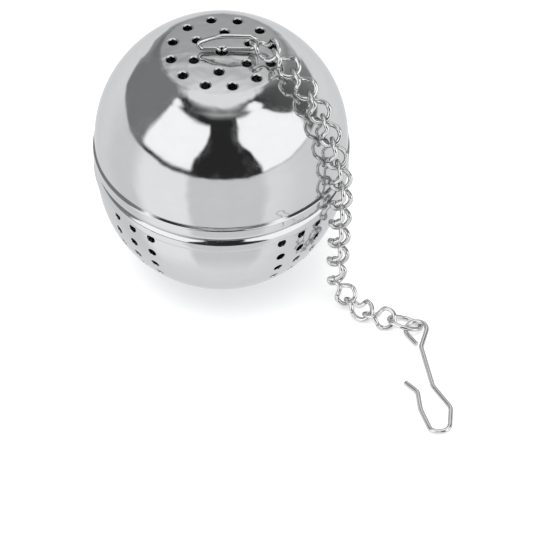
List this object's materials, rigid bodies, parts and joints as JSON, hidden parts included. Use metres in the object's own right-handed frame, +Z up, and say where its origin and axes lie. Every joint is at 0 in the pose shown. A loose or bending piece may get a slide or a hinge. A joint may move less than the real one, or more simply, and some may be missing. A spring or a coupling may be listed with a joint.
{
  "type": "tea infuser ball",
  "caption": "Screw-together perforated steel ball for loose tea, with a wire eye, a curb chain and a wire hook that hangs on a cup's rim.",
  "frame": {"origin": "on the table, under the middle of the ball, at the middle of the bowl's flat foot", "axes": "+Z up; -Y towards the viewer the ball was seen from; +X to the side the chain hangs down and lies on the table"},
  "size_m": [0.0701, 0.0762, 0.0572],
  "materials": {
    "shell_steel": "polished",
    "wire_steel": "polished"
  },
  "bodies": {
    "lower_shell": {"lower_shell": "shell_steel"},
    "eyelet": {"eyelet": "wire_steel"},
    "upper_shell": {"upper_shell": "shell_steel"},
    "link_01": {"link_01": "wire_steel"},
    "link_02": {"link_02": "wire_steel"},
    "link_03": {"link_03": "wire_steel"},
    "link_04": {"link_04": "wire_steel"},
    "link_05": {"link_05": "wire_steel"},
    "link_06": {"link_06": "wire_steel"},
    "link_07": {"link_07": "wire_steel"},
    "link_08": {"link_08": "wire_steel"},
    "link_09": {"link_09": "wire_steel"},
    "link_10": {"link_10": "wire_steel"},
    "link_11": {"link_11": "wire_steel"},
    "link_12": {"link_12": "wire_steel"},
    "link_13": {"link_13": "wire_steel"},
    "link_14": {"link_14": "wire_steel"},
    "link_15": {"link_15": "wire_steel"},
    "end_ring": {"end_ring": "wire_steel"},
    "hook": {"hook": "wire_steel"}
  },
  "joints": [
    {"name": "lid_lift", "type": "slide", "parent": "lower_shell", "child": "eyelet", "axis": [0, 0, 1], "range_m": [0, 0.048]},
    {"name": "lid_turn", "type": "hinge", "parent": "eyelet", "child": "upper_shell", "pos_m": [0, 0, 0.04], "axis": [0, 0, 1], "range_deg": [0, 360]},
    {"name": "link_01_swing", "type": "hinge", "parent": "eyelet", "child": "link_01", "pos_m": [0.0059, 0.00057, 0.05507], "axis": [0, -1, 0], "range_deg": [0, 50]},
    {"name": "link_02_swing", "type": "hinge", "parent": "link_01", "child": "link_02", "pos_m": [0.01054, -0.00351, 0.05532], "axis": [0.4009, 0.5034, 0.7654], "range_deg": [-50, 0]},
    {"name": "link_03_swing", "type": "hinge", "parent": "link_02", "child": "link_03", "pos_m": [0.01333, -0.00596, 0.05349], "axis": [0.0701, 0.8065, -0.587], "range_deg": [-50, 0]},
    {"name": "link_04_swing", "type": "hinge", "parent": "link_03", "child": "link_04", "pos_m": [0.01693, -0.00912, 0.04958], "axis": [0.8102, 0.4327, 0.3955], "range_deg": [-50, 0]},
    {"name": "link_05_swing", "type": "hinge", "parent": "link_04", "child": "link_05", "pos_m": [0.01906, -0.01099, 0.04643], "axis": [-0.0711, 0.9306, -0.359], "range_deg": [-50, 0]},
    {"name": "link_06_swing", "type": "hinge", "parent": "link_05", "child": "link_06", "pos_m": [0.02126, -0.01293, 0.04099], "axis": [0.9053, 0.3491, 0.2419], "range_deg": [-50, 0]},
    {"name": "link_07_swing", "type": "hinge", "parent": "link_06", "child": "link_07", "pos_m": [0.02225, -0.0138, 0.03697], "axis": [0.1256, -0.9792, 0.1591], "range_deg": [0, 50]},
    {"name": "link_08_swing", "type": "hinge", "parent": "link_07", "child": "link_08", "pos_m": [0.02323, -0.01465, 0.03093], "axis": [0.9428, 0.3157, 0.1074], "range_deg": [-50, 0]},
    {"name": "link_09_swing", "type": "hinge", "parent": "link_08", "child": "link_09", "pos_m": [0.02323, -0.01465, 0.02671], "axis": [0.135, -0.9909, 0], "range_deg": [-6, 50]},
    {"name": "link_10_swing", "type": "hinge", "parent": "link_09", "child": "link_10", "pos_m": [0.02323, -0.01465, 0.02053], "axis": [0.9524, 0.305, 0], "range_deg": [-50, 22]},
    {"name": "link_11_swing", "type": "hinge", "parent": "link_10", "child": "link_11", "pos_m": [0.02323, -0.01465, 0.01631], "axis": [0.135, -0.9909, 0], "range_deg": [-35, 50]},
    {"name": "link_12_swing", "type": "hinge", "parent": "link_11", "child": "link_12", "pos_m": [0.02323, -0.01465, 0.01013], "axis": [0.9524, 0.305, 0], "range_deg": [-50, 50]},
    {"name": "link_13_swing", "type": "hinge", "parent": "link_12", "child": "link_13", "pos_m": [0.02255, -0.01406, 0.00561], "axis": [-0.0082, -0.7563, 0.6542], "range_deg": [-5, 50]},
    {"name": "link_14_swing", "type": "hinge", "parent": "link_13", "child": "link_14", "pos_m": [0.02626, -0.01731, 0.00189], "axis": [0.7892, 0.513, 0.3375], "range_deg": [-50, 50]},
    {"name": "link_15_swing", "type": "hinge", "parent": "link_14", "child": "link_15", "pos_m": [0.02875, -0.02054, 0.00187], "axis": [-0.1913, -0.7419, 0.6427], "range_deg": [-50, 50]},
    {"name": "ring_swing", "type": "hinge", "parent": "link_15", "child": "end_ring", "pos_m": [0.03471, -0.02217, 0.00176], "axis": [-0.213, -0.7359, -0.6427], "range_deg": [-50, 50]},
    {"name": "hook_swing", "type": "hinge", "parent": "end_ring", "child": "hook", "pos_m": [0.03706, -0.02465, 0.0021], "axis": [-0.977, 0.0813, 0.1972], "range_deg": [-50, 0]}
  ]
}
